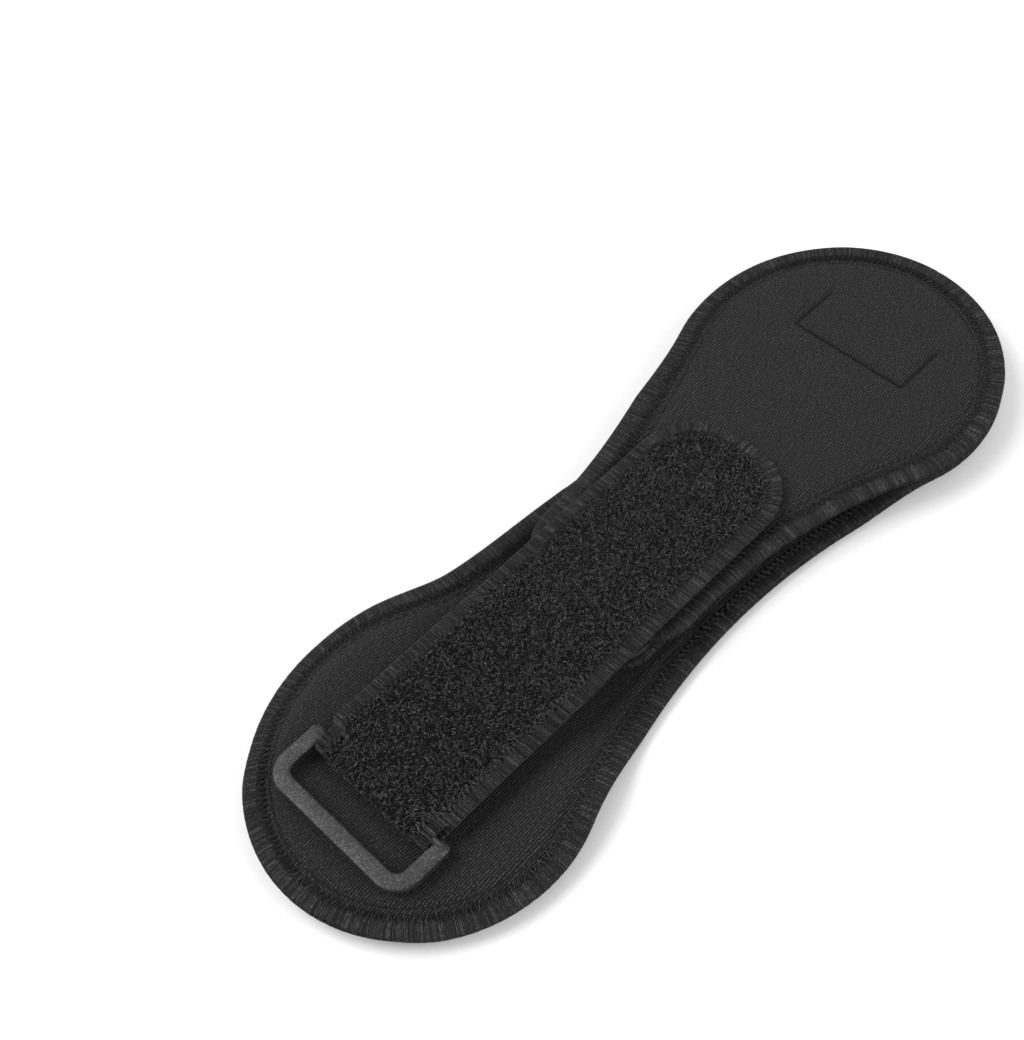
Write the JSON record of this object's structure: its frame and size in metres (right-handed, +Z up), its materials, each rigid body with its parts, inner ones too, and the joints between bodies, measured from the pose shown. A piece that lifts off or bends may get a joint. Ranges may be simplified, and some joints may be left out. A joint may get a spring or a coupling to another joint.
{
  "type": "ankle cuff weight",
  "caption": "Soft waisted ankle cuff of two padded layers with a weight pouch between, a fastening strap and flat metal rings.",
  "frame": {"origin": "centre of the overall box at the underside, on the surface the cuff lies on", "axes": "+X along the length towards the lobe without the strap ring, +Y across, +Z up out of the smooth face"},
  "size_m": [0.3, 0.108, 0.0174],
  "materials": {
    "smooth_face": "knitted, matt",
    "foam": "closed-cell foam, matt",
    "edge_thread": "overlock thread",
    "loop_fabric": "brushed loop pile",
    "seam_thread": "sewing thread",
    "ring_metal": "dark satin, slightly speckled",
    "hook_plastic": "moulded hooks",
    "pouch_shell": "coated cloth",
    "iron_fill": "grains",
    "strap_fabric": "loop webbing"
  },
  "bodies": {
    "cuff": {"lower_mid_face": "smooth_face", "lower_mid_foam": "foam", "lower_mid_loop": "loop_fabric", "lower_mid_edge": "edge_thread", "upper_mid_face": "smooth_face", "upper_mid_foam": "foam", "upper_mid_loop": "loop_fabric", "upper_mid_edge": "edge_thread", "strap_tail_mid": "strap_fabric"},
    "near_lobe": {"lower_near_face": "smooth_face", "lower_near_foam": "foam", "lower_near_loop": "loop_fabric", "lower_near_edge": "edge_thread", "strap_tail_near": "strap_fabric", "strap_fold": "strap_fabric", "strap_root": "strap_fabric", "strap_root_edge": "edge_thread", "near_tab": "strap_fabric", "near_tab_stitch": "seam_thread"},
    "far_lobe": {"lower_far_face": "smooth_face", "lower_far_foam": "foam", "lower_far_loop": "loop_fabric", "lower_far_edge": "edge_thread", "upper_far_face": "smooth_face", "upper_far_foam": "foam", "upper_far_loop": "loop_fabric", "upper_far_edge": "edge_thread", "far_tab": "strap_fabric", "far_tab_stitch": "seam_thread"},
    "strap_tip": {"strap_free": "strap_fabric", "strap_free_edge": "edge_thread", "hook_patch": "hook_plastic"},
    "strap_ring_body": {"strap_ring": "ring_metal"},
    "near_ring_body": {"near_ring": "ring_metal"},
    "far_ring_body": {"far_ring": "ring_metal"},
    "pouch_body": {"pouch_bottom": "pouch_shell", "pouch_top": "pouch_shell", "pouch_fill": "iron_fill", "pouch_seam": "edge_thread"}
  },
  "joints": [
    {"name": "near_lobe_fold", "type": "hinge", "parent": "cuff", "child": "near_lobe", "pos_m": [-0.05, 0, 0.0174], "axis": [0, 1, 0], "range_deg": [0, 50]},
    {"name": "far_lobe_fold", "type": "hinge", "parent": "cuff", "child": "far_lobe", "pos_m": [0.055, 0, 0.0139], "axis": [0, -1, 0], "range_deg": [0, 50]},
    {"name": "strap_peel", "type": "hinge", "parent": "cuff", "child": "strap_tip", "pos_m": [-0.05, 0, 0.0174], "axis": [0, -1, 0], "range_deg": [0, 100]},
    {"name": "strap_ring_swing", "type": "hinge", "parent": "near_lobe", "child": "strap_ring_body", "pos_m": [-0.113, 0, 0.01365], "axis": [0, 1, 0], "range_deg": [0, 130]},
    {"name": "near_ring_swing", "type": "hinge", "parent": "near_lobe", "child": "near_ring_body", "pos_m": [-0.114, 0, 0.00295], "axis": [0, -1, 0], "range_deg": [0, 130]},
    {"name": "far_ring_swing", "type": "hinge", "parent": "far_lobe", "child": "far_ring_body", "pos_m": [0.12, 0, 0.00295], "axis": [0, 1, 0], "range_deg": [0, 130]},
    {"name": "pouch_slide", "type": "slide", "parent": "cuff", "child": "pouch_body", "axis": [0, -1, 0], "range_m": [0, 0.095]}
  ]
}
